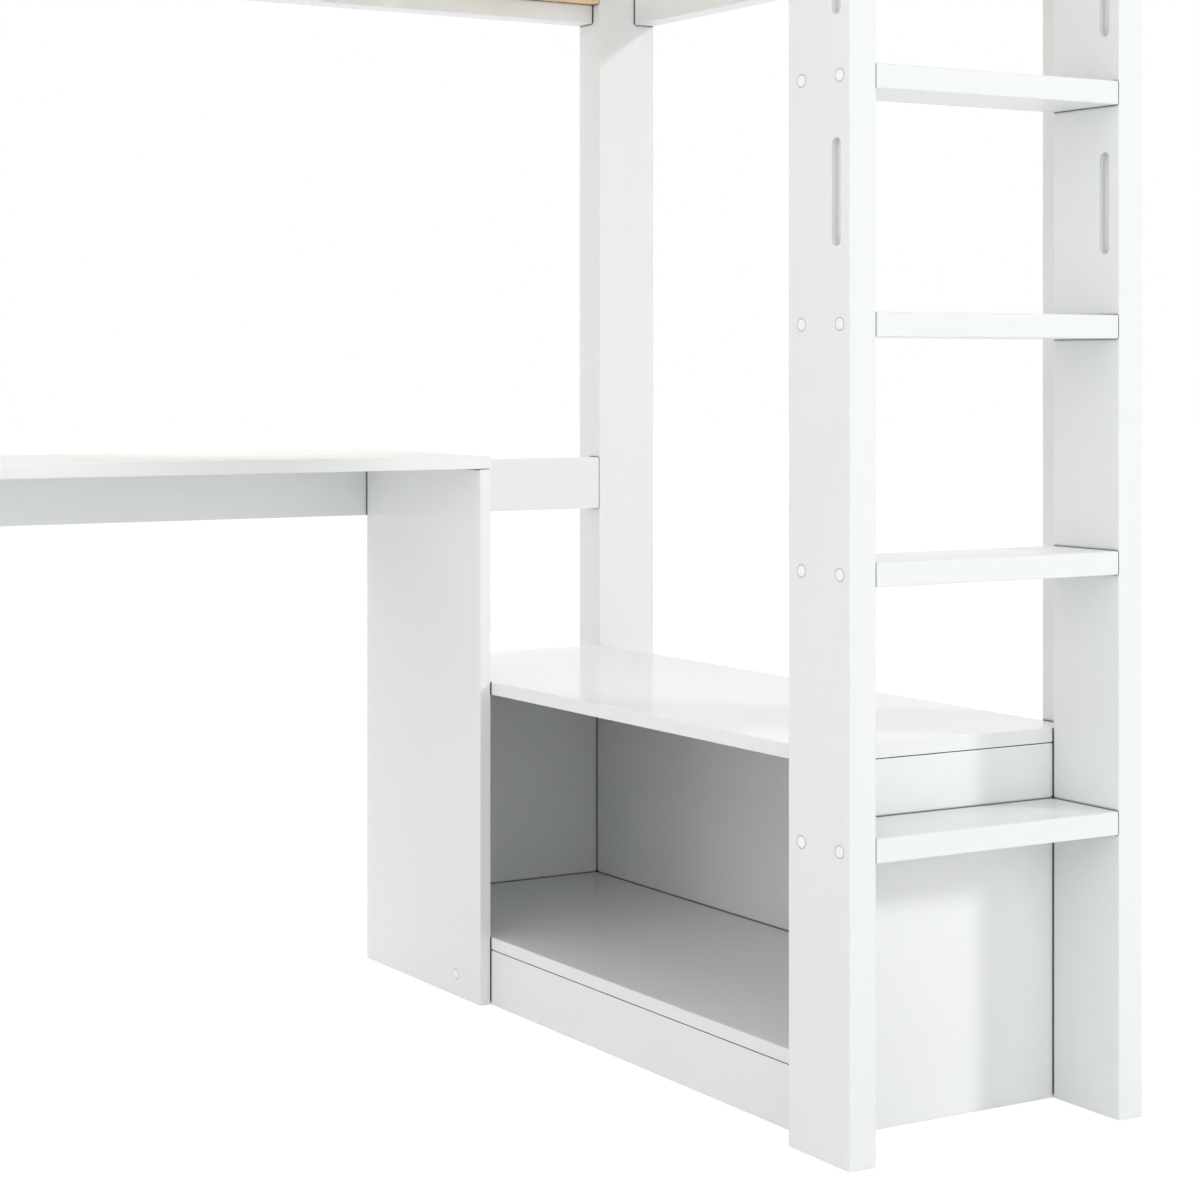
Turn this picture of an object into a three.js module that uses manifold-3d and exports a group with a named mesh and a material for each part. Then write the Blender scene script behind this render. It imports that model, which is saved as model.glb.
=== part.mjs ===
// Loft bed for one sleeper: a raised slatted bed with an upright ladder, over a desk and a low open cabinet.
// Lengths are millimetres. X runs along the bed, Y from the ladder side to the wall side, and Z is up.
// The origin is on the floor under the middle of the bed, ladder included.

import * as THREE from "three";
import { RoundedBoxGeometry } from "three/addons/geometries/RoundedBoxGeometry.js";
import { mergeVertices } from "three/addons/utils/BufferGeometryUtils.js";
import Module from "manifold-3d";

// Board stock
const lumberThickness = 38; // rails and ladder stiles
const treadThickness = 28; // rungs, stabilisers and guard boards
const panelThickness = 18; // desk, cabinet top, shelf and kickboard
const cabinetWall = 16; // back and ends of the cabinet
const postWidth = 106; // along X
const postDepth = 56; // along Y
const edgeRadius = 1.5; // sanded edge of every board
const seam = 0.3; // joint line left between two boards that meet

// Bed
const wellLength = 1912; // between the end rails
const wellWidth = 997; // between the long rails
const railBottom = 1448;
const railHeight = 140;
const cleatRise = 30; // underside of the cleat above the underside of its rail
const cleatHeight = 28;
const slatCount = 12;
const slatWidth = 80;
const slatThickness = 18;
const slatEndPlay = 1; // between a slat's end and the long rail
const guardCount = 2; // boards above each rail
const guardHeight = 56;
const guardGap = 40;

// Stabiliser rails
const stabiliserHeight = 81;

// Desk
const deskDepth = 350;
const deskUnderside = 753;

// Cabinet
const cabinetDepth = 409; // along X, from its open side to its back
const cabinetHeight = 453.5;
const kickHeight = 77;

// Ladder
const ladderClearWidth = 372;
const stileWidth = 106; // along Y
const topRungRise = 51; // centre of the top rung above the underside of the rails
const rungCentres = [353.5, 662.5, 943, 1221, railBottom + topRungRise];
const groovedRung = 4; // the stiles have a groove below and above this rung
const grooveFromRung = 69; // from the rung's centre to the near end of a groove
const grooveLength = 122;
const grooveWidth = 15;
const grooveDepth = 6;
const grooveInset = 22.7; // centre line from the stile's front edge

// Screws that show on the outside
const screwHeadRadius = 6.5;
const screwHeadThickness = 3.6;
const screwHeadProud = 0.6; // rim of the head above the board's face
const screwHeadCrown = 0.5;
const screwShankRadius = 3;
const screwClearance = 0.3; // round the shank and under the head
const screwRecessRadius = 8;
const rungScrewInsets = { front: 17, back: 82.5 }; // from the stile's front edge
const rungScrewReach = 42; // into the end of the rung
const kickScrewInset = 64.5; // from the desk panel's front edge
const kickScrewHeight = 31;
const kickScrewReach = 14; // into the kickboard
const roundSteps = 24; // sides of a round hole or head

// Places that follow from the sizes
const bedLength = wellLength + 2 * lumberThickness;
const bedDepth = wellWidth + 2 * lumberThickness;
const left = -bedLength / 2;
const right = bedLength / 2;
const ladderFront = -(bedDepth + stileWidth) / 2;
const front = ladderFront + stileWidth;
const back = front + bedDepth;
const leftPostInner = left + postWidth;
const rightPostInner = right - postWidth;
const frontPostInner = front + postDepth;
const backPostInner = back - postDepth;
const frontRailInner = front + lumberThickness;
const rearRailInner = back - lumberThickness;
const railTop = railBottom + railHeight;
const totalHeight = railTop + guardCount * (guardGap + guardHeight);

const rightStileInner = rightPostInner - lumberThickness;
const leftStileInner = rightStileInner - ladderClearWidth;
const leftStileOuter = leftStileInner - lumberThickness;

const cabinetFace = rightPostInner - cabinetDepth;
const cabinetBack = rightPostInner - seam;
const cabinetFar = backPostInner - seam;
const shelfTop = kickHeight + panelThickness;

const deskLeft = leftPostInner + seam;
const deskRight = cabinetFace - seam;
const deskPanelLeft = deskRight - panelThickness; // outer face of the right side panel
const deskBack = backPostInner + treadThickness;
const deskFront = deskBack - deskDepth;

// Boards between two posts leave a joint line at each end
const alongBed = [leftPostInner + seam, rightPostInner - seam];
const acrossBed = [frontPostInner + seam, backPostInner - seam];

const whiteLacquer = new THREE.MeshStandardMaterial({ color: 0xf1f1f0, roughness: 0.38, metalness: 0 });
const whitePanel = new THREE.MeshStandardMaterial({ color: 0xf2f2f1, roughness: 0.3, metalness: 0 });
const barePine = new THREE.MeshStandardMaterial({ color: 0xd9b27c, roughness: 0.62, metalness: 0 });
const whiteCap = new THREE.MeshStandardMaterial({ color: 0xf7f7f6, roughness: 0.3, metalness: 0 });

const wasm = await Module();
wasm.setup();

// A closed mesh as a solid that can be cut
function toSolid(geometry) {
  const bare = geometry.clone();
  bare.deleteAttribute("normal");
  bare.deleteAttribute("uv");
  const welded = mergeVertices(bare, 1e-3);
  return new wasm.Manifold(
    new wasm.Mesh({
      numProp: 3,
      vertProperties: welded.attributes.position.array,
      triVerts: new Uint32Array(welded.index.array),
    }),
  );
}

// A solid back as the geometry of a mesh
function toGeometry(solid) {
  const cut = solid.getMesh();
  const geometry = new THREE.BufferGeometry();
  geometry.setAttribute("position", new THREE.BufferAttribute(cut.vertProperties, cut.numProp));
  geometry.setIndex(new THREE.BufferAttribute(cut.triVerts, 1));
  geometry.computeVertexNormals();
  return geometry;
}

function place(group, name, geometry, material, position) {
  const mesh = new THREE.Mesh(geometry, material);
  mesh.name = name;
  mesh.position.copy(position);
  group.add(mesh);
}

// A board with sanded edges that fills the box between two limits on each axis, less what the cutters take
function addBoard(group, name, material, [x0, x1], [y0, y1], [z0, z1], cutters = []) {
  const centre = new THREE.Vector3((x0 + x1) / 2, (y0 + y1) / 2, (z0 + z1) / 2);
  let geometry = new RoundedBoxGeometry(x1 - x0, y1 - y0, z1 - z0, 1, edgeRadius);
  if (cutters.length > 0) {
    const local = cutters.map((cutter) => toSolid(cutter.clone().translate(-centre.x, -centre.y, -centre.z)));
    geometry = toGeometry(local.reduce((solid, cutter) => solid.subtract(cutter), toSolid(geometry)));
  }
  place(group, name, geometry, material, centre);
}

// A round rod along X between two limits, for holes
function rodAlongX(radius, x0, x1, y, z) {
  const rod = new THREE.CylinderGeometry(radius, radius, x1 - x0, roundSteps);
  return rod.rotateZ(Math.PI / 2).translate((x0 + x1) / 2, y, z);
}

// A screw that points along +X, with the board's face at x = 0 and a low crowned head
function screwGeometry(reach) {
  const rim = -screwHeadProud;
  const crown = rim - screwHeadCrown;
  const under = rim + screwHeadThickness;
  const profile = [
    [0, crown],
    [screwHeadRadius * 0.6, crown + screwHeadCrown * 0.3],
    [screwHeadRadius * 0.93, rim],
    [screwHeadRadius, rim + screwHeadCrown],
    [screwHeadRadius, under],
    [screwShankRadius, under],
    [screwShankRadius, reach - screwShankRadius],
    [0, reach],
  ];
  const points = profile.map(([radius, along]) => new THREE.Vector2(radius, along));
  return new THREE.LatheGeometry(points, roundSteps).rotateZ(-Math.PI / 2);
}

// The stepped hole for such a screw in the face at x: a recess for the head and a bore for the shank
function screwHole(x, y, z, reach) {
  const recessFloor = x - screwHeadProud + screwHeadThickness + screwClearance;
  return [
    rodAlongX(screwRecessRadius, x - edgeRadius, recessFloor, y, z),
    rodAlongX(screwShankRadius + screwClearance, x, x + reach + screwClearance, y, z),
  ];
}

// An upright groove with round ends, cut along X between two limits
function grooveCutter(x0, x1, y, bottom) {
  const radius = grooveWidth / 2;
  const outline = new THREE.Shape();
  outline.absarc(0, radius, radius, Math.PI, 2 * Math.PI);
  outline.absarc(0, grooveLength - radius, radius, 0, Math.PI);
  outline.closePath();
  const settings = { depth: x1 - x0, bevelEnabled: false, curveSegments: roundSteps / 2 };
  const groove = new THREE.ExtrudeGeometry(outline, settings);
  return groove.rotateX(Math.PI / 2).rotateZ(Math.PI / 2).translate(x0, y, bottom);
}

function makePosts() {
  const posts = new THREE.Group();
  const sides = { left: [left, leftPostInner], right: [rightPostInner, right] };
  const rows = { front: [front, frontPostInner], rear: [backPostInner, back] };
  for (const [row, yLimits] of Object.entries(rows)) {
    for (const [side, xLimits] of Object.entries(sides)) {
      addBoard(posts, `${row}_${side}_post`, whiteLacquer, xLimits, yLimits, [0, totalHeight]);
    }
  }
  return posts;
}

function makeRails() {
  const rails = new THREE.Group();
  const height = [railBottom, railTop];
  addBoard(rails, "front_rail", whiteLacquer, alongBed, [front, frontRailInner], height);
  addBoard(rails, "rear_rail", whiteLacquer, alongBed, [rearRailInner, back], height);
  addBoard(rails, "left_end_rail", whiteLacquer, [left, left + lumberThickness], acrossBed, height);
  addBoard(rails, "right_end_rail", whiteLacquer, [right - lumberThickness, right], acrossBed, height);
  return rails;
}

// The cleats fill the step from the long rails to the posts' inner faces, and the slats lie on them
function makeSlatBase() {
  const base = new THREE.Group();
  const cleatBottom = railBottom + cleatRise;
  const cleatTop = cleatBottom + cleatHeight;
  const cleatLimits = [cleatBottom, cleatTop];
  addBoard(base, "front_cleat", barePine, alongBed, [frontRailInner + seam, frontPostInner], cleatLimits);
  addBoard(base, "rear_cleat", barePine, alongBed, [backPostInner, rearRailInner - seam], cleatLimits);

  const slatLimits = [cleatTop + seam, cleatTop + seam + slatThickness];
  const slatEnds = [frontRailInner + slatEndPlay, rearRailInner - slatEndPlay];
  const slatPitch = (alongBed[1] - alongBed[0] - slatWidth) / (slatCount - 1);
  for (let i = 0; i < slatCount; i++) {
    const x = alongBed[0] + i * slatPitch;
    addBoard(base, `slat_${i + 1}`, barePine, [x, x + slatWidth], slatEnds, slatLimits);
  }
  return base;
}

// The top guard boards end level with the posts, and the front ones stop at the ladder
function makeGuards() {
  const guards = new THREE.Group();
  const sides = {
    front: [[leftPostInner + seam, leftStileInner], [front, front + treadThickness]],
    rear: [alongBed, [back - treadThickness, back]],
    left: [[left, left + treadThickness], acrossBed],
    right: [[right - treadThickness, right], acrossBed],
  };
  for (let i = 0; i < guardCount; i++) {
    const bottom = railTop + guardGap + i * (guardHeight + guardGap);
    for (const [side, [xLimits, yLimits]] of Object.entries(sides)) {
      const name = `${side}_guard_${i + 1}`;
      addBoard(guards, name, whiteLacquer, xLimits, yLimits, [bottom, bottom + guardHeight]);
    }
  }
  return guards;
}

// The rear stabiliser also carries the desktop's back edge
function makeStabilisers() {
  const stabilisers = new THREE.Group();
  const top = deskUnderside - seam;
  const height = [top - stabiliserHeight, top];
  addBoard(stabilisers, "rear_stabiliser", whiteLacquer, alongBed, [backPostInner, deskBack], height);
  addBoard(stabilisers, "left_stabiliser", whiteLacquer, [left, left + treadThickness], acrossBed, height);
  return stabilisers;
}

// One screw holds the desk's right panel to the cabinet's kickboard
const kickScrewY = deskFront + kickScrewInset;
const kickScrewLength = panelThickness + seam + kickScrewReach;
const kickScrewHole = screwHole(deskPanelLeft, kickScrewY, kickScrewHeight, kickScrewLength);

function makeDesk() {
  const desk = new THREE.Group();
  const topLimits = [deskUnderside, deskUnderside + panelThickness];
  addBoard(desk, "desktop", whitePanel, [deskLeft, deskRight], [deskFront, deskBack], topLimits);

  const depth = [deskFront, backPostInner - seam];
  const height = [0, deskUnderside - seam];
  addBoard(desk, "desk_left_panel", whitePanel, [deskLeft, deskLeft + panelThickness], depth, height);
  addBoard(desk, "desk_right_panel", whitePanel, [deskPanelLeft, deskRight], depth, height, kickScrewHole);

  const head = new THREE.Vector3(deskPanelLeft, kickScrewY, kickScrewHeight);
  place(desk, "kickboard_screw", screwGeometry(kickScrewLength), whiteCap, head);
  return desk;
}

// The top lies on the two ends and the back, and the shelf lies on the kickboard
function makeCabinet() {
  const cabinet = new THREE.Group();
  const topUnderside = cabinetHeight - panelThickness;
  const wallHeight = [0, topUnderside - seam];
  const fullDepth = [cabinetFace, cabinetBack];
  const nearEnd = [front, front + cabinetWall];
  const farEnd = [cabinetFar - cabinetWall, cabinetFar];
  addBoard(cabinet, "cabinet_top", whitePanel, fullDepth, [front, cabinetFar], [topUnderside, cabinetHeight]);
  addBoard(cabinet, "cabinet_near_end", whitePanel, fullDepth, nearEnd, wallHeight);
  addBoard(cabinet, "cabinet_far_end", whitePanel, fullDepth, farEnd, wallHeight);

  const betweenEnds = [nearEnd[1] + seam, farEnd[0] - seam];
  const backPanel = [cabinetBack - cabinetWall, cabinetBack];
  const kickDepth = [cabinetFace, cabinetFace + panelThickness];
  const shelfDepth = [cabinetFace, backPanel[0] - seam];
  addBoard(cabinet, "cabinet_back", whitePanel, backPanel, betweenEnds, wallHeight);
  addBoard(cabinet, "cabinet_kickboard", whitePanel, kickDepth, betweenEnds, [0, kickHeight], kickScrewHole);
  addBoard(cabinet, "cabinet_shelf", whitePanel, shelfDepth, betweenEnds, [kickHeight + seam, shelfTop]);
  return cabinet;
}

// Both stiles are grooved on both faces. The rungs are screwed through the left stile from its outer face.
function makeLadder() {
  const ladder = new THREE.Group();
  const depth = [ladderFront, front - seam];
  const grooveY = ladderFront + grooveInset;
  const middle = rungCentres[groovedRung - 1];
  const grooveBottoms = [middle - grooveFromRung - grooveLength, middle + grooveFromRung];
  const screwLength = lumberThickness + rungScrewReach;
  const screw = screwGeometry(screwLength);

  function grooves(x0, x1) {
    return grooveBottoms.flatMap((bottom) => [
      grooveCutter(x0 - edgeRadius, x0 + grooveDepth, grooveY, bottom),
      grooveCutter(x1 - grooveDepth, x1 + edgeRadius, grooveY, bottom),
    ]);
  }

  function rungScrewHoles(z) {
    const insets = Object.values(rungScrewInsets);
    return insets.flatMap((inset) => screwHole(leftStileOuter, ladderFront + inset, z, screwLength));
  }

  function addStile(name, x0, cutters) {
    const x1 = x0 + lumberThickness;
    addBoard(ladder, name, whiteLacquer, [x0, x1], depth, [0, totalHeight], [...grooves(x0, x1), ...cutters]);
  }

  addStile("left_stile", leftStileOuter, rungCentres.flatMap(rungScrewHoles));
  addStile("right_stile", rightStileInner, []);

  rungCentres.forEach((z, i) => {
    const name = `rung_${i + 1}`;
    const width = [leftStileInner + seam, rightStileInner - seam];
    const height = [z - treadThickness / 2, z + treadThickness / 2];
    addBoard(ladder, name, whiteLacquer, width, depth, height, rungScrewHoles(z));
    for (const [side, inset] of Object.entries(rungScrewInsets)) {
      const head = new THREE.Vector3(leftStileOuter, ladderFront + inset, z);
      place(ladder, `${name}_${side}_screw`, screw, whiteCap, head);
    }
  });
  return ladder;
}

const loftBed = new THREE.Group();
loftBed.name = "loft_bed";
loftBed.add(
  makePosts(),
  makeRails(),
  makeSlatBase(),
  makeGuards(),
  makeStabilisers(),
  makeDesk(),
  makeCabinet(),
  makeLadder(),
);

export default loftBed;
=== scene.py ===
import math

import bpy
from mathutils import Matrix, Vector


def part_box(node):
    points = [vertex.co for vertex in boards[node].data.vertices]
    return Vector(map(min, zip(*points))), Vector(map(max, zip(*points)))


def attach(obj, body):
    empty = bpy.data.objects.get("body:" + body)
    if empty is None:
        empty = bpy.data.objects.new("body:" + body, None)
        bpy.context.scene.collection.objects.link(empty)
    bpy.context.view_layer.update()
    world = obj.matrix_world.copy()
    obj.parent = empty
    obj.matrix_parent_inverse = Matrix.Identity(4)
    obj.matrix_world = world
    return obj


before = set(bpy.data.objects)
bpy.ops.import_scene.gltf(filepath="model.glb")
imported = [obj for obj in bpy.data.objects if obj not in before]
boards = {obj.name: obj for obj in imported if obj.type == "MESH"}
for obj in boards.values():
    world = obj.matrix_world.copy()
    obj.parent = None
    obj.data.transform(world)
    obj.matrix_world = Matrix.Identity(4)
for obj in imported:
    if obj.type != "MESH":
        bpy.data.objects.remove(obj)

scene = bpy.context.scene
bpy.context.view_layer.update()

# Camera
# It stands at eye height in front of the desk and looks along the bed past the ladder. The frame
# holds only the lower right part of the bed, so the lens is shifted and not turned.
EYE = (-1.38476, -2.72154, 0.890)
HEADING = -27.5753
LENS = 73.90
SHIFT = (0.26522, -0.1905)

camera = bpy.data.objects.new("camera", bpy.data.cameras.new("camera"))
scene.collection.objects.link(camera)
camera.location = EYE
camera.rotation_euler = (math.radians(90), 0, math.radians(HEADING))
camera.data.sensor_width = 36
camera.data.lens = LENS
camera.data.shift_x = SHIFT[0]
camera.data.shift_y = SHIFT[1]
camera.data.clip_end = 200
scene.camera = camera


# Studio
# A white floor and white surroundings, softly lit from all round. One narrower lamp at the front
# right gives the soft-edged shadows of the end rail, the stile and the rungs.
class Wire:
    """One value in a node tree. Arithmetic on it adds the Math nodes that work it out."""

    def __init__(self, recipe, socket):
        self.recipe = recipe
        self.socket = socket

    def maths(self, operation, *values):
        sockets = dict(enumerate(values))
        return self.recipe.node("ShaderNodeMath", {"operation": operation}, sockets)

    def __add__(self, other):
        return self.maths("ADD", self, other)

    def __sub__(self, other):
        return self.maths("SUBTRACT", self, other)

    def __rsub__(self, other):
        return self.maths("SUBTRACT", other, self)

    def __mul__(self, other):
        return self.maths("MULTIPLY", self, other)

    def __truediv__(self, other):
        return self.maths("DIVIDE", self, other)

    def __pow__(self, other):
        return self.maths("POWER", self, other)

    __radd__ = __add__
    __rmul__ = __mul__

    def most(self, other):
        return self.maths("MAXIMUM", self, other)

    def other(self, name):
        """Another output of the node that this value comes from."""
        return Wire(self.recipe, self.socket.node.outputs[name])

    def fade(self, low, high):
        """0 below low and 1 above high, with a smooth step between them."""
        settings = {"interpolation_type": "SMOOTHSTEP"}
        sockets = {"Value": self, "From Min": low, "From Max": high}
        return self.recipe.node("ShaderNodeMapRange", settings, sockets)


class Recipe:
    """The node tree of a material, of the world, or of a Geometry Nodes group."""

    def __init__(self, tree):
        self.tree = tree
        tree.nodes.clear()

    def node(self, kind, settings=None, sockets=None, output=0):
        """Adds a node: its settings first, then the values or links of its sockets."""
        made = self.tree.nodes.new(kind)
        for name, value in (settings or {}).items():
            setattr(made, name, value)
        for name, value in (sockets or {}).items():
            if isinstance(value, Wire):
                self.tree.links.new(value.socket, made.inputs[name])
            else:
                made.inputs[name].default_value = value
        return Wire(self, made.outputs[output]) if made.outputs else None

    def blend(self, one, two, factor):
        """Colour one, turning into colour two as the factor goes to 1."""
        settings = {"data_type": "RGBA"}
        return self.node("ShaderNodeMix", settings, {0: factor, 6: one, 7: two}, 2)


FLOOR_COLOUR = (0.93, 0.93, 0.93, 1)
WHITE = (1, 1, 1, 1)
FLOOR_SIZE = 60
FLOOR_SHADOW = 0.10  # how much of the floor's own shading shows in its white
FLOOR_WHITE = 0.93
AROUND = 0.03  # light from all round, beside the lamps

# Each lamp's place: degrees round from the front towards the right, degrees up, width and strength
LAMPS = {
    "key_front_right": (49, 26, 8, 0.360),
    "wide_front": (0, 18, 60, 0.282),
    "wide_front_left": (-36, 18, 60, 0.155),
    "wide_left": (-72, 18, 60, 0.180),
    "wide_back_left": (-108, 18, 60, 0.150),
    "wide_high_left": (-72, 50, 60, 0.200),
    "wide_high_back": (180, 50, 60, 0.605),
    "soft_right": (120, 12, 26, 0.280),
}


def seen_directly(recipe):
    """1 for the rays that show the surroundings: to the camera, in gloss and through glass."""
    path = recipe.node("ShaderNodeLightPath", output="Is Camera Ray")
    return path.most(path.other("Is Glossy Ray")).most(path.other("Is Transmission Ray"))


world = bpy.data.worlds.new("studio")
scene.world = world
world.use_nodes = True
sky = Recipe(world.node_tree)
strength = AROUND + (1 - AROUND) * seen_directly(sky)
surroundings = sky.node("ShaderNodeBackground", sockets={"Color": WHITE, "Strength": strength})
sky.node("ShaderNodeOutputWorld", sockets={"Surface": surroundings})

paint = bpy.data.materials.new("floor_white")
paint.use_nodes = True
floor_look = Recipe(paint.node_tree)
matt = floor_look.node("ShaderNodeBsdfDiffuse", sockets={"Color": FLOOR_COLOUR})
glow = floor_look.node("ShaderNodeEmission", sockets={"Color": WHITE, "Strength": FLOOR_WHITE})
faint = floor_look.node("ShaderNodeBsdfDiffuse", sockets={"Color": (FLOOR_SHADOW,) * 3 + (1,)})
shown = floor_look.node("ShaderNodeAddShader", sockets={0: glow, 1: faint})
seen = seen_directly(floor_look)
surface = floor_look.node("ShaderNodeMixShader", sockets={0: seen, 1: matt, 2: shown})
floor_look.node("ShaderNodeOutputMaterial", sockets={"Surface": surface})

half = FLOOR_SIZE / 2
floor_mesh = bpy.data.meshes.new("floor")
corners = [(-half, -half, 0), (half, -half, 0), (half, half, 0), (-half, half, 0)]
floor_mesh.from_pydata(corners, [], [(0, 1, 2, 3)])
floor_mesh.materials.append(paint)
floor = bpy.data.objects.new("floor", floor_mesh)
scene.collection.objects.link(floor)

for name, (azimuth, elevation, width, level) in LAMPS.items():
    lamp = bpy.data.lights.new(name, "SUN")
    lamp.energy = math.pi * level
    lamp.angle = math.radians(width)
    stand = bpy.data.objects.new(name, lamp)
    stand.visible_glossy = False  # gloss shows the white surroundings alone
    a = math.radians(azimuth)
    e = math.radians(elevation)
    travel = Vector((-math.sin(a) * math.cos(e), math.cos(a) * math.cos(e), -math.sin(e)))
    stand.rotation_mode = "QUATERNION"
    stand.rotation_quaternion = travel.to_track_quat("-Z", "Y")
    scene.collection.objects.link(stand)

scene.view_settings.view_transform = "Standard"

# Posts
# Four square-edged pine posts, sprayed with white lacquer. The wood's grain still shows very
# faintly through the lacquer. The rails' bolts go in through the posts, under white press-in caps.
LACQUER = (0.818, 0.838, 0.839, 1)
LACQUER_LOW = (0.810, 0.829, 0.830, 1)
# Near-black painted shade, mixed into the colour where boards meet
PAINTED_SHADE = (0.02, 0.02, 0.02, 1)
JOINT_REACH = 0.0045  # how far the painted shade of a joint spreads over the boards that meet
JOINT_FADE = (0.42, 0.90)  # openness at which the joint's painted shade is full, and gone
JOINT_SAMPLES = 12
FLOOR_FADE = (0.002, 0.007)  # heights between which the painted shade lines begin
GROOVE_REACH = 0.022
PAINTED_GROOVE_SHADE = 0.30  # painted shade: how much darker the floor of a groove is beside its walls
GRAIN_ALONG = 2.2  # grain features per metre along the board
GRAIN_ACROSS = 140
PEEL = 420  # spray texture, features per metre
AXES = "XYZ"


def new_finish(name):
    """An empty material and the recipe of its nodes."""
    finish = bpy.data.materials.new(name)
    finish.use_nodes = True
    return finish, Recipe(finish.node_tree)


def long_axis(node):
    """0, 1 or 2: the way that a board runs."""
    low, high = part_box(node)
    return max(range(3), key=lambda i: high[i] - low[i])


def stretched(recipe, axis, along, across):
    """Object coordinates drawn out along one axis."""
    place = recipe.node("ShaderNodeTexCoord", output="Object")
    scale = [across] * 3
    scale[axis] = along
    settings = {"operation": "MULTIPLY"}
    return recipe.node("ShaderNodeVectorMath", settings, {0: place, 1: scale})


def noise(recipe, place, scale, detail=3, roughness=0.5):
    sockets = {"Vector": place, "Scale": scale, "Detail": detail, "Roughness": roughness}
    return recipe.node("ShaderNodeTexNoise", sockets=sockets)


def openness(recipe, reach, own_only=False):
    """1 where nothing stands within reach, less in a corner or a gap."""
    settings = {"samples": JOINT_SAMPLES, "only_local": own_only}
    return recipe.node("ShaderNodeAmbientOcclusion", settings, {"Distance": reach}, "AO")


def painted_joint_shade(recipe, colour, grooved=False):
    """The colour, with shade painted into it: darkened in the thin lines where boards meet, but not
    where they meet the floor. On a grooved board the floors of the grooves get painted shade too."""
    gap = openness(recipe, JOINT_REACH)
    if grooved:
        gap = gap + 1 - openness(recipe, JOINT_REACH, True)
    place = recipe.node("ShaderNodeTexCoord", output="Object")
    height = recipe.node("ShaderNodeSeparateXYZ", sockets={0: place}, output="Z")
    light = gap.fade(*JOINT_FADE).most(1 - height.fade(*FLOOR_FADE))
    # Painted shade on the floors of the grooves, stronger where they are closed in
    if grooved:
        normal = recipe.node("ShaderNodeNewGeometry", output="True Normal")
        across = recipe.node("ShaderNodeSeparateXYZ", sockets={0: normal})
        inside = 1 - openness(recipe, GROOVE_REACH, True).fade(0.5, 1.0)
        light = light * (1 - PAINTED_GROOVE_SHADE * inside * (across * across))
    # Paints the shade into the colour where the surface is closed in
    return recipe.blend(PAINTED_SHADE, colour, light)


def relief(recipe, strength, distance, height):
    """The normal of a surface that a height makes uneven."""
    sockets = {"Strength": strength, "Distance": distance, "Height": height}
    return recipe.node("ShaderNodeBump", sockets=sockets)


def coat_with(finish, recipe, coat):
    """Ends a finish with its coat: the colour, roughness and normal of its surface."""
    surface = recipe.node("ShaderNodeBsdfPrincipled", sockets=coat)
    recipe.node("ShaderNodeOutputMaterial", sockets={"Surface": surface})
    return finish


def lacquered(axis, grooved=False):
    """White lacquer over a board that runs along one axis."""
    kind = "grooved" if grooved else "plain"
    finish, look = new_finish(f"white_lacquer_{kind}_along_{AXES[axis].lower()}")
    place = look.node("ShaderNodeTexCoord", output="Object")
    grain = noise(look, stretched(look, axis, GRAIN_ALONG, GRAIN_ACROSS), 1, 5, 0.62)
    cloud = noise(look, place, 2.6, 2)
    peel = noise(look, place, PEEL, 2)
    tone = (grain * 0.6 + cloud * 0.4).fade(0.3, 0.7)
    coat = {
        "Base Color": painted_joint_shade(look, look.blend(LACQUER_LOW, LACQUER, tone), grooved),
        "Roughness": 0.27 + 0.07 * grain + 0.04 * cloud,
        "Normal": relief(look, 0.16, 0.0002, grain * 0.7 + peel * 0.3),
    }
    return coat_with(finish, look, coat)


def cover(node, finish):
    """Gives a CAD board its finish."""
    slots = boards[node].material_slots
    for slot in slots:
        slot.material = finish


lacquer = [lacquered(axis) for axis in range(3)]


def lacquer_board(node):
    cover(node, lacquer[long_axis(node)])


for end in ("left", "right"):
    for row in ("front", "rear"):
        lacquer_board(f"{row}_{end}_post")


HEAD_SIDES = 24
CROSS_WIDTH = 0.28  # of each arm of a cross recess, as a share of the arm's length


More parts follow.
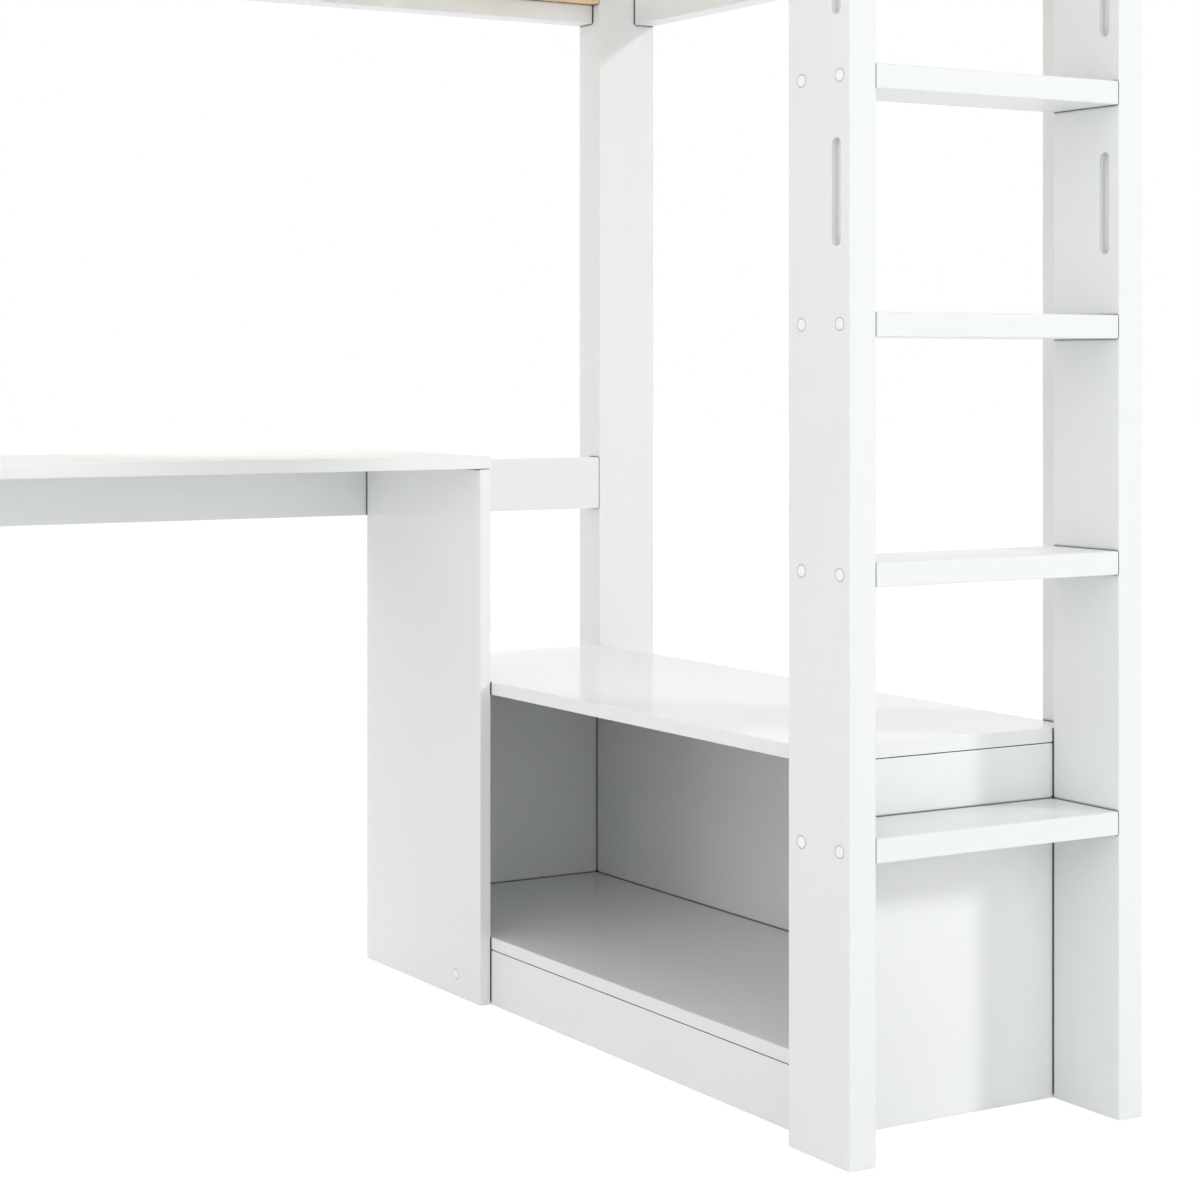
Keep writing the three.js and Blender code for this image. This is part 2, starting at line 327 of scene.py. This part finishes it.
def head_tree(name, recess=None):
    """Geometry Nodes that set one crowned, chamfered head on each place, turned to face outwards.
    Its recess is None, "cross" or "bore", which makes a ring of it."""
    group = bpy.data.node_groups.new(name, "GeometryNodeTree")
    face = group.interface
    face.new_socket("Places", in_out="INPUT", socket_type="NodeSocketGeometry")
    for size in ("Radius", "Thickness", "Proud", "Crown", "Chamfer", "Recess"):
        face.new_socket(size, in_out="INPUT", socket_type="NodeSocketFloat")
    face.new_socket("Turn Seed", in_out="INPUT", socket_type="NodeSocketInt")
    face.new_socket("Finish", in_out="INPUT", socket_type="NodeSocketMaterial")
    face.new_socket("Heads", in_out="OUTPUT", socket_type="NodeSocketGeometry")

    make = Recipe(group)
    given = make.node("NodeGroupInput")
    radius = given.other("Radius")
    thickness = given.other("Thickness")
    disc = make.node(
        "GeometryNodeMeshCylinder",
        sockets={
            "Vertices": HEAD_SIDES,
            "Side Segments": 3,
            "Fill Segments": 3,
            "Radius": radius,
            "Depth": thickness,
        },
    )
    spot = make.node("GeometryNodeInputPosition")
    x = make.node("ShaderNodeSeparateXYZ", sockets={0: spot})
    y = x.other("Y")
    z = x.other("Z")
    out = (x * x + y * y) ** 0.5 / radius
    upper = z.maths("GREATER_THAN", z, 0)
    rim = z.maths("GREATER_THAN", z, thickness * 0.4) * out.maths("GREATER_THAN", out, 0.99)
    narrow = 1 - rim * given.other("Chamfer")
    height = z + upper * given.other("Crown") * (1 - out * out)
    height = height - thickness * 0.5 + given.other("Proud")
    shape = make.node("ShaderNodeCombineXYZ", sockets={0: x * narrow, 1: y * narrow, 2: height})
    head = make.node("GeometryNodeSetPosition", sockets={"Geometry": disc, "Position": shape})
    if recess == "bore":
        bore = make.node(
            "GeometryNodeMeshCylinder",
            sockets={"Vertices": HEAD_SIDES, "Radius": given.other("Recess"), "Depth": 0.1},
        )
        head = make.node(
            "GeometryNodeMeshBoolean", {"operation": "DIFFERENCE"}, {"Mesh 1": head, "Mesh 2": bore}
        )
    if recess == "cross":
        arm = given.other("Recess")
        for width, length in ((CROSS_WIDTH, 1.0), (1.0, CROSS_WIDTH)):
            size = make.node(
                "ShaderNodeCombineXYZ", sockets={0: arm * width, 1: arm * length, 2: thickness}
            )
            bar = make.node("GeometryNodeMeshCube", sockets={"Size": size})
            lift = make.node(
                "ShaderNodeCombineXYZ", sockets={2: given.other("Proud") + thickness * 0.2}
            )
            bar = make.node(
                "GeometryNodeTransform", sockets={"Geometry": bar, "Translation": lift}
            )
            head = make.node(
                "GeometryNodeMeshBoolean", {"operation": "DIFFERENCE"}, {"Mesh 1": head, "Mesh 2": bar}
            )
    facing = make.node(
        "GeometryNodeInputNamedAttribute", {"data_type": "FLOAT_VECTOR"}, {"Name": "facing"}
    )
    outwards = make.node("FunctionNodeAlignRotationToVector", {"axis": "Z"}, {"Vector": facing})
    any_turn = make.node(
        "FunctionNodeRandomValue",
        {"data_type": "FLOAT"},
        {2: 0.0, 3: math.tau, "Seed": given.other("Turn Seed")},
        1,
    )
    turn = make.node(
        "FunctionNodeAxisAngleToRotation", sockets={"Axis": (0, 0, 1), "Angle": any_turn}
    )
    turned = make.node(
        "FunctionNodeRotateRotation",
        {"rotation_space": "LOCAL"},
        {"Rotation": outwards, "Rotate By": turn},
    )
    heads = make.node(
        "GeometryNodeInstanceOnPoints",
        sockets={"Points": given.other("Places"), "Instance": head, "Rotation": turned},
    )
    real = make.node("GeometryNodeRealizeInstances", sockets={"Geometry": heads})
    done = make.node(
        "GeometryNodeSetMaterial", sockets={"Geometry": real, "Material": given.other("Finish")}
    )
    make.node("NodeGroupOutput", sockets={"Heads": done})
    return group


def set_heads(name, tree, places, sizes):
    """Makes one piece of the heads at all the places: (point, facing) pairs."""
    mesh = bpy.data.meshes.new(name)
    mesh.from_pydata([point for point, facing in places], [], [])
    directions = mesh.attributes.new("facing", "FLOAT_VECTOR", "POINT")
    directions.data.foreach_set("vector", [v for point, facing in places for v in facing])
    piece = bpy.data.objects.new(name, mesh)
    scene.collection.objects.link(piece)
    modifier = piece.modifiers.new("heads", "NODES")
    modifier.node_group = tree
    for item in tree.interface.items_tree:
        if item.name in sizes:
            modifier[item.identifier] = sizes[item.name]
    bpy.context.view_layer.update()
    solid = piece.evaluated_get(bpy.context.evaluated_depsgraph_get())
    piece_mesh = bpy.data.meshes.new_from_object(solid)
    piece.modifiers.remove(modifier)
    piece.data = piece_mesh
    piece_mesh.name = name
    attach(piece, "root")
    return piece


def cap_white():
    """White press-in plastic, a little glossier than the lacquer."""
    finish, look = new_finish("cap_white")
    place = look.node("ShaderNodeTexCoord", output="Object")
    fine = noise(look, place, 900, 2)
    wide = noise(look, place, 30, 2)
    coat = {
        "Base Color": look.blend((0.90, 0.915, 0.915, 1), (0.93, 0.94, 0.94, 1), wide),
        "Roughness": 0.24 + 0.1 * fine,
        "Normal": relief(look, 0.2, 0.0001, fine),
    }
    return coat_with(finish, look, coat)


cap_finish = cap_white()
plain_head = head_tree("plain_head")
CAP = {
    "Radius": 0.0065,
    "Thickness": 0.0030,
    "Proud": 0.0007,
    "Crown": 0.0005,
    "Chamfer": 0.07,
    "Turn Seed": 3,
    "Finish": cap_finish,
}
RAIL_BOLT_INSETS = (0.035, 0.105)  # above a rail's lower edge


POSTS_ACROSS = ((-1, "front_left_post"), (1, "front_right_post"))
POSTS_BACK = ((-1, "front_right_post"), (1, "rear_right_post"))


def middle(node, axis):
    """Where a node's middle lies on an axis."""
    low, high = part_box(node)
    return (low[axis] + high[axis]) / 2


def face_of(node, axis, side):
    """Where a node's face lies on an axis: its low face for a side of -1, its high one for 1."""
    low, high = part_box(node)
    return (low if side < 0 else high)[axis]


bolt_places = []
for rail in ("front_rail", "rear_rail"):
    for inset in RAIL_BOLT_INSETS:
        height = face_of(rail, 2, -1) + inset
        for side, post in POSTS_ACROSS:
            place = (face_of(post, 0, side), middle(rail, 1), height)
            bolt_places.append((place, (side, 0, 0)))
for rail in ("left_end_rail", "right_end_rail"):
    for inset in RAIL_BOLT_INSETS:
        height = face_of(rail, 2, -1) + inset
        for side, post in POSTS_BACK:
            place = (middle(rail, 0), face_of(post, 1, side), height)
            bolt_places.append((place, (0, side, 0)))
for side, post in POSTS_ACROSS:
    for rail in ("rear_stabiliser", "rear_guard_1", "rear_guard_2"):
        place = (face_of(post, 0, side), middle(rail, 1), middle(rail, 2))
        bolt_places.append((place, (side, 0, 0)))
for rail in ("front_guard_1", "front_guard_2"):
    place = (face_of("front_left_post", 0, -1), middle(rail, 1), middle(rail, 2))
    bolt_places.append((place, (-1, 0, 0)))
for rail in ("left_stabiliser", "left_guard_1", "left_guard_2", "right_guard_1", "right_guard_2"):
    for side, post in POSTS_BACK:
        place = (middle(rail, 0), face_of(post, 1, side), middle(rail, 2))
        bolt_places.append((place, (0, side, 0)))
set_heads("post_bolt_caps", plain_head, bolt_places, CAP)

# Rails and guard boards
# Planed pine boards in the same white lacquer. The four deep rails carry the bed, and two guard
# boards stand above each of them.
for rail in ("front_rail", "rear_rail", "left_end_rail", "right_end_rail"):
    lacquer_board(rail)
for side in ("front", "rear", "left", "right"):
    for number in (1, 2):
        lacquer_board(f"{side}_guard_{number}")

# Cleats and slats
# Bare pine, planed but not painted. The cleats are screwed to the long rails, and each slat lies
# across them with one screw at each end.
CLEAT_TONES = ((0.88, 0.65, 0.41, 1), (0.81, 0.55, 0.31, 1), (0.66, 0.37, 0.155, 1))
SLAT_TONES = ((0.86, 0.79, 0.66, 1), (0.82, 0.72, 0.56, 1), (0.70, 0.52, 0.33, 1))
KNOT = (0.24, 0.11, 0.045, 1)
KNOTS_ALONG = 2.1  # places for a knot per metre along the grain
KNOTS_ACROSS = 9
RING_SPACING = 0.0042
BED_LEVEL = 1.52  # height of the cleats and slats, above the pith of their boards
PITH_DEPTH = 0.03  # the least depth of the pith under that level
PITH_RANGE = 0.05  # how far the pith's place differs from board to board
SLAT_COUNT = 12


def pine(name, axis, first, pitch, tones):
    """Bare pine along one axis. Each board gets rings of its own: they lie a pitch apart across
    the grain, from the first board's middle."""
    pale, mid, dark = tones
    finish, look = new_finish(name)
    place = look.node("ShaderNodeTexCoord", output="Object")
    apart = look.node("ShaderNodeSeparateXYZ", sockets={0: place})
    parts = [apart, apart.other("Y"), apart.other("Z")]
    along = parts[axis]
    across = parts[1 - axis] - first
    up = parts[2]
    board = across.maths("ROUND", across / pitch)
    chance = look.node("ShaderNodeTexWhiteNoise", {"noise_dimensions": "1D"}, {"W": board + 7.3})
    chance_two = look.node(
        "ShaderNodeTexWhiteNoise", {"noise_dimensions": "1D"}, {"W": board + 31.7}
    )

    # Flat knots, wide apart, that the rings bend round
    knot_place = look.node(
        "ShaderNodeCombineXYZ",
        sockets={0: along * KNOTS_ALONG, 1: across * KNOTS_ACROSS, 2: board * 3.1},
    )
    knots = look.node(
        "ShaderNodeTexVoronoi",
        {"feature": "F1"},
        {"Vector": knot_place, "Scale": 1.0, "Randomness": 1.0},
    )
    near_knot = 1 - knots.fade(0.02, 0.34)
    in_knot = 1 - knots.fade(0.045, 0.075)

    # Growth rings round a pith that lies under the board, wavering slowly along it
    waver = noise(look, stretched(look, axis, 1.6, 9), 1, 3) - 0.5
    side = across - board * pitch + (chance - 0.5) * PITH_RANGE + waver * 0.02
    depth = up + PITH_DEPTH + chance_two * PITH_RANGE - BED_LEVEL
    from_pith = (side * side + depth * depth) ** 0.5 + near_knot * 0.008
    ring = (from_pith / RING_SPACING).maths("FRACT", from_pith / RING_SPACING)
    late = ring.fade(0.45, 0.93) * (1 - ring.fade(0.93, 1.0))

    fibre = noise(look, stretched(look, axis, 9, 900), 1, 4, 0.6)
    streak = noise(look, stretched(look, axis, 2.2, 60), 1, 3)
    ground = look.blend(pale, mid, (streak * 0.8 + chance * 0.35).fade(0.25, 0.95))
    rings = look.blend(ground, dark, late * 0.42)
    fibres = look.blend(rings, mid, fibre.fade(0.5, 0.85) * 0.35)
    colour = look.blend(fibres, KNOT, in_knot * 0.85)
    coat = {
        "Base Color": painted_joint_shade(look, colour),
        "Roughness": 0.56 + 0.16 * fibre - 0.12 * late,
        "Normal": relief(look, 0.5, 0.0003, fibre * 0.6 + late * 0.4),
    }
    return coat_with(finish, look, coat)


first_cleat = middle("front_cleat", 1)
cleat_pitch = middle("rear_cleat", 1) - first_cleat
cleat_pine = pine("bare_pine_cleats", 0, first_cleat, cleat_pitch, CLEAT_TONES)
first_slat = middle("slat_1", 0)
slat_pitch = middle("slat_2", 0) - first_slat
slat_pine = pine("bare_pine_slats", 1, first_slat, slat_pitch, SLAT_TONES)
for cleat in ("front_cleat", "rear_cleat"):
    cover(cleat, cleat_pine)
for number in range(1, SLAT_COUNT + 1):
    cover(f"slat_{number}", slat_pine)


def zinc():
    """Yellow-passivated zinc on the screws that nobody sees from the room."""
    finish, look = new_finish("screw_zinc")
    place = look.node("ShaderNodeTexCoord", output="Object")
    cloud = noise(look, place, 160, 3)
    coat = {
        "Base Color": look.blend((0.62, 0.55, 0.36, 1), (0.72, 0.70, 0.62, 1), cloud.fade(0.3, 0.7)),
        "Metallic": 1.0,
        "Roughness": 0.26 + 0.2 * cloud,
    }
    return coat_with(finish, look, coat)


cross_head = head_tree("cross_head", "cross")
WOOD_SCREW = {
    "Radius": 0.0040,
    "Thickness": 0.0022,
    "Proud": 0.0007,
    "Crown": 0.0006,
    "Chamfer": 0.12,
    "Recess": 0.0044,
    "Turn Seed": 11,
    "Finish": zinc(),
}
slat_screws = []
for number in range(1, SLAT_COUNT + 1):
    slat = f"slat_{number}"
    for cleat in ("front_cleat", "rear_cleat"):
        place = (middle(slat, 0), middle(cleat, 1), face_of(slat, 2, 1))
        slat_screws.append((place, (0, 0, 1)))
set_heads("slat_screws", cross_head, slat_screws, WOOD_SCREW)

CLEAT_SCREW_PITCH = 0.29
cleat_screws = []
for cleat, side in (("front_cleat", 1), ("rear_cleat", -1)):
    left_end = face_of(cleat, 0, -1)
    length = face_of(cleat, 0, 1) - left_end
    count = int(length / CLEAT_SCREW_PITCH)
    start = (length - (count - 1) * CLEAT_SCREW_PITCH) / 2
    for i in range(count):
        along = left_end + start + i * CLEAT_SCREW_PITCH
        place = (along, face_of(cleat, 1, side), middle(cleat, 2))
        cleat_screws.append((place, (0, side, 0)))
set_heads("cleat_screws", cross_head, cleat_screws, WOOD_SCREW)

# Stabiliser rails
# Two white boards at desk height that stop the posts from racking. The rear one also carries the
# back edge of the desktop.
lacquer_board("rear_stabiliser")
lacquer_board("left_stabiliser")

# Desk
# A top on two side panels, all of white coated board: smoother and a little glossier than the
# lacquered wood, except the desktop, which has a dull coat to write on. A screw near the floor
# holds the right panel to the cabinet.
COATED = (0.826, 0.842, 0.841, 1)
COATED_LOW = (0.818, 0.833, 0.832, 1)


def coated_board(coat_name, dullness, level):
    """White coated board: smooth at a dullness of 0.1, satin at 0.5. The level is its gloss seen
    straight on."""
    finish, look = new_finish(f"white_{coat_name}_board")
    place = look.node("ShaderNodeTexCoord", output="Object")
    cloud = noise(look, place, 3.4, 2)
    orange = noise(look, place, 260, 2)
    tone = (cloud * 0.7 + orange * 0.3).fade(0.3, 0.7)
    coat = {
        "Base Color": painted_joint_shade(look, look.blend(COATED_LOW, COATED, tone)),
        "Roughness": dullness - 0.01 + 0.04 * cloud + 0.02 * orange,
        "Specular IOR Level": level,
        "Normal": relief(look, 0.10, 0.00015, orange),
    }
    return coat_with(finish, look, coat)


coated = coated_board("coated", 0.10, 0.35)
for panel in ("desk_left_panel", "desk_right_panel"):
    cover(panel, coated)
cover("desktop", coated_board("satin", 0.60, 0.20))
cover("kickboard_screw", cap_finish)

# Cabinet
# A low open shelf box of the same coated board, between the ladder and the rear post. Its parts
# are joined with hidden fittings, so nothing shows on its faces.
for part in ("top", "near_end", "far_end", "back", "shelf", "kickboard"):
    cover(f"cabinet_{part}", coated)

# Ladder
# Two lacquered stiles with routed finger grooves, and five tread boards between them. Two screws
# hold each end of a tread, and both stiles wear white caps over them.
RUNGS = 5
# This finish paints shade into the floors of the stiles' grooves
grooved_lacquer = lacquered(2, grooved=True)
for part in ("left_stile", "right_stile"):
    cover(part, grooved_lacquer)
far_caps = []
for number in range(1, RUNGS + 1):
    rung = f"rung_{number}"
    lacquer_board(rung)
    for row in ("front", "back"):
        screw = f"{rung}_{row}_screw"
        cover(screw, cap_finish)
        place = (face_of("right_stile", 0, 1), middle(screw, 1), middle(rung, 2))
        far_caps.append((place, (1, 0, 0)))
set_heads("right_stile_caps", plain_head, far_caps, CAP)


def seat_painted_shade():
    """The ring that each cap sits in, dull and grey: painted shade for the shadowed gap round the cap.
    """
    finish, look = new_finish("cap_ring_painted_shade")
    place = look.node("ShaderNodeTexCoord", output="Object")
    fine = noise(look, place, 700, 2)
    coat = {
        "Base Color": look.blend((0.50, 0.51, 0.51, 1), (0.58, 0.59, 0.59, 1), fine),
        "Roughness": 0.5 + 0.15 * fine,
        "Normal": relief(look, 0.2, 0.0001, fine),
    }
    return coat_with(finish, look, coat)


# A flush ring of painted shade round every cap, in the gap of its recess
PAINTED_SHADE_RING = {
    "Radius": 0.0079,
    "Thickness": 0.0012,
    "Proud": 0.00008,
    "Crown": 0.0,
    "Chamfer": 0.0,
    "Recess": 0.00655,
    "Turn Seed": 5,
    "Finish": seat_painted_shade(),
}
ring = head_tree("cap_seat", "bore")
seats = []
for screw in [name for name in boards if name.endswith("_screw")]:
    panel = "desk_right_panel" if screw == "kickboard_screw" else "left_stile"
    place = (face_of(panel, 0, -1), middle(screw, 1), middle(screw, 2))
    seats.append((place, (-1, 0, 0)))
set_heads("cap_shade_rings", ring, sorted(seats) + far_caps + bolt_places, PAINTED_SHADE_RING)
